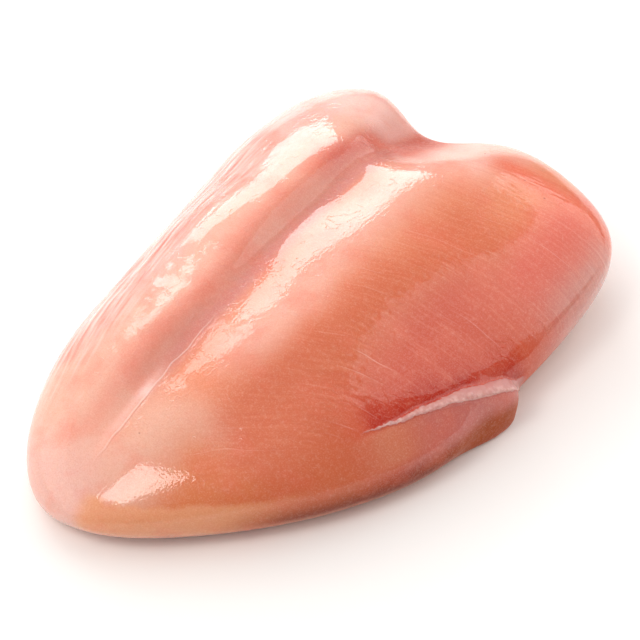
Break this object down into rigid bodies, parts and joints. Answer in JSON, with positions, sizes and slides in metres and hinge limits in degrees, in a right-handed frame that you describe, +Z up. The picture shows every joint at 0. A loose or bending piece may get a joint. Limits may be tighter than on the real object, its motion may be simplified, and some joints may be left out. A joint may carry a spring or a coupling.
{
  "type": "raw chicken breast",
  "caption": "Whole raw skinless chicken breast: plump lobes joined along a central groove, with a flap of the lower muscle showing under one side.",
  "frame": {"origin": "middle of the flat underside's bounding rectangle", "axes": "+Y along the meat from its tip to the rounded heads, +X towards the lobe with the flap, +Z up"},
  "size_m": [0.1308, 0.193, 0.0414],
  "materials": {
    "meat": "moist raw flesh under a thin wet membrane"
  },
  "bodies": {
    "root": {"chicken_breast": "meat"}
  },
  "joints": []
}
